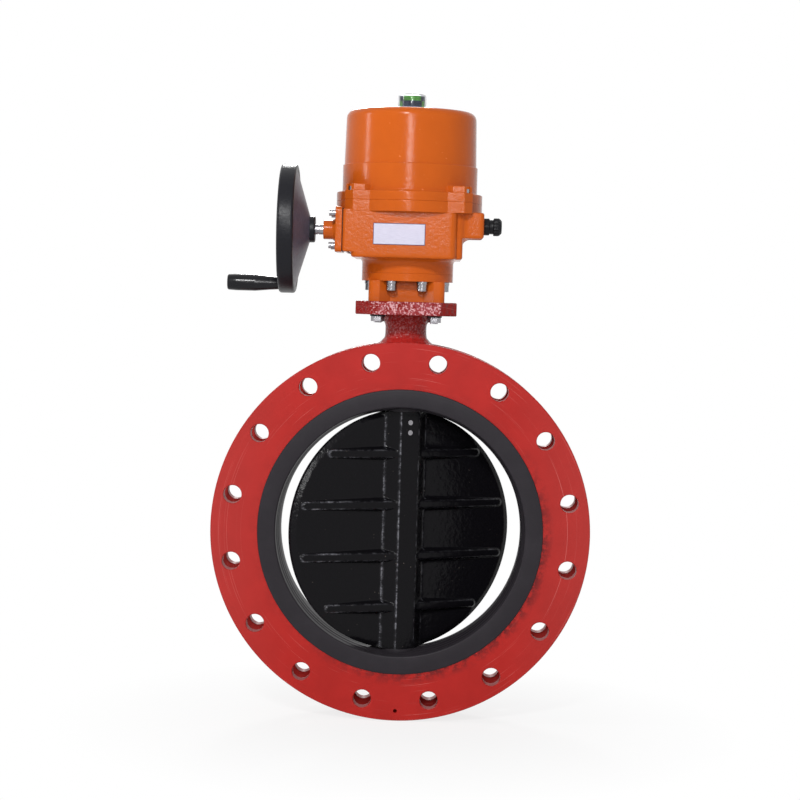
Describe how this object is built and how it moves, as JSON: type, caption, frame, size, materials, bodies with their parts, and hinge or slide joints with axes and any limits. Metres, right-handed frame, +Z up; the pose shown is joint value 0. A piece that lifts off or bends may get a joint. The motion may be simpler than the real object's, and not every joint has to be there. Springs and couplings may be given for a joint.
{
  "type": "motorised butterfly valve",
  "caption": "Double-flanged butterfly valve with a rubber seat, a ribbed disc, an electric quarter-turn actuator and a side handwheel.",
  "frame": {"origin": "centre of the front pipe flange's face, on the pipe's axis", "axes": "+Y along the pipe from the front flange to the rear one, +Z up along the stem to the actuator, +X away from the handwheel"},
  "size_m": [0.597, 0.265, 0.9868],
  "materials": {
    "red_paint": "oxide-red enamel over cast iron, slightly rough",
    "seat_rubber": "moulded black EPDM, matt",
    "disc_coating": "glossy black coating over ductile iron",
    "stainless_steel": "turned stainless steel",
    "machined_steel": "machined carbon steel, oiled",
    "bronze": "machined bearing bronze",
    "seal_rubber": "black nitrile rubber",
    "orange_paint": "orange powder coat over die-cast metal",
    "black_oxide_steel": "black oxide steel",
    "zinc_plate": "zinc-plated sheet steel",
    "motor_paint": "dark grey enamel",
    "cast_aluminium": "cast aluminium",
    "copper_winding": "varnished copper winding",
    "ivory_plastic": "moulded ivory nylon",
    "black_plastic": "glossy black phenolic",
    "gland_plastic": "black moulded nylon",
    "clear_plastic": "clear polycarbonate",
    "navy_plastic": "moulded dark blue plastic",
    "green_plastic": "moulded green plastic",
    "black_paint": "black satin powder coat over cast aluminium",
    "plate_aluminium": "satin aluminium, bare"
  },
  "bodies": {
    "valve": {"valve_body": "red_paint", "seat_liner": "seat_rubber", "upper_bush": "bronze", "middle_bush": "bronze", "lower_bush": "bronze", "stem_seal": "seal_rubber", "stem_retainer": "stainless_steel", "bottom_plug": "machined_steel", "mounting_spool": "orange_paint", "plate_studs": "stainless_steel", "plate_nuts": "stainless_steel", "plate_washers": "black_oxide_steel", "spool_screws": "stainless_steel", "spool_screw_washers": "stainless_steel", "gear_housing": "orange_paint", "side_cover": "orange_paint", "side_cover_gasket": "seal_rubber", "side_cover_screws": "stainless_steel", "shaft_seal": "seal_rubber", "worm_bushes": "bronze", "output_bushes": "bronze", "idler_pin": "stainless_steel", "gear_plate": "zinc_plate", "gear_plate_screws": "stainless_steel", "gear_frame": "zinc_plate", "motor_bracket": "zinc_plate", "motor_case": "motor_paint", "motor_end_cap": "cast_aluminium", "motor_stator": "copper_winding", "limit_switches": "black_plastic", "terminal_block": "ivory_plastic", "capacitor": "cast_aluminium", "cover": "orange_paint", "cover_seal": "seal_rubber", "cover_screws": "stainless_steel", "indicator_dome": "clear_plastic", "cable_gland": "gland_plastic", "nameplate": "plate_aluminium"},
    "disc_train": {"disc": "disc_coating", "disc_pins": "stainless_steel", "upper_stem": "stainless_steel", "lower_stem": "stainless_steel", "stem_key": "machined_steel", "drive_coupling": "machined_steel", "output_shaft": "machined_steel", "worm_wheel": "bronze", "indicator_shaft": "stainless_steel", "limit_cams": "ivory_plastic", "indicator_drum": "navy_plastic", "indicator_flags": "green_plastic"},
    "worm_train": {"worm_shaft": "stainless_steel", "worm": "machined_steel", "worm_shaft_gear": "machined_steel", "handwheel": "black_paint", "handwheel_nut": "stainless_steel", "handle_spindle": "stainless_steel"},
    "grip": {"handle_grip": "black_plastic"},
    "idler": {"idler_gear": "machined_steel"},
    "rotor": {"motor_rotor": "machined_steel", "motor_pinion": "machined_steel"}
  },
  "joints": [
    {"name": "disc_turn", "type": "hinge", "parent": "valve", "child": "disc_train", "pos_m": [0, 0.051, 0], "axis": [0, 0, 1], "range_deg": [-26, 64]},
    {"name": "worm_turn", "type": "hinge", "parent": "valve", "child": "worm_train", "pos_m": [0, 0.001, 0.471], "axis": [1, 0, 0], "range_deg": [-2304, 936]},
    {"name": "grip_spin", "type": "hinge", "parent": "worm_train", "child": "grip", "pos_m": [-0.24, 0.001, 0.3855], "axis": [1, 0, 0], "continuous": true},
    {"name": "idler_turn", "type": "hinge", "parent": "valve", "child": "idler", "pos_m": [-0.05, 0.001, 0.515], "axis": [1, 0, 0], "range_deg": [-2496, 6144]},
    {"name": "rotor_turn", "type": "hinge", "parent": "valve", "child": "rotor", "pos_m": [0, 0.001, 0.5475], "axis": [1, 0, 0], "range_deg": [-20480, 8320]}
  ],
  "couplings": [
    {"joint": "worm_turn", "follows": "disc_turn", "ratio": -36},
    {"joint": "idler_turn", "follows": "disc_turn", "ratio": 96},
    {"joint": "rotor_turn", "follows": "disc_turn", "ratio": -320}
  ]
}
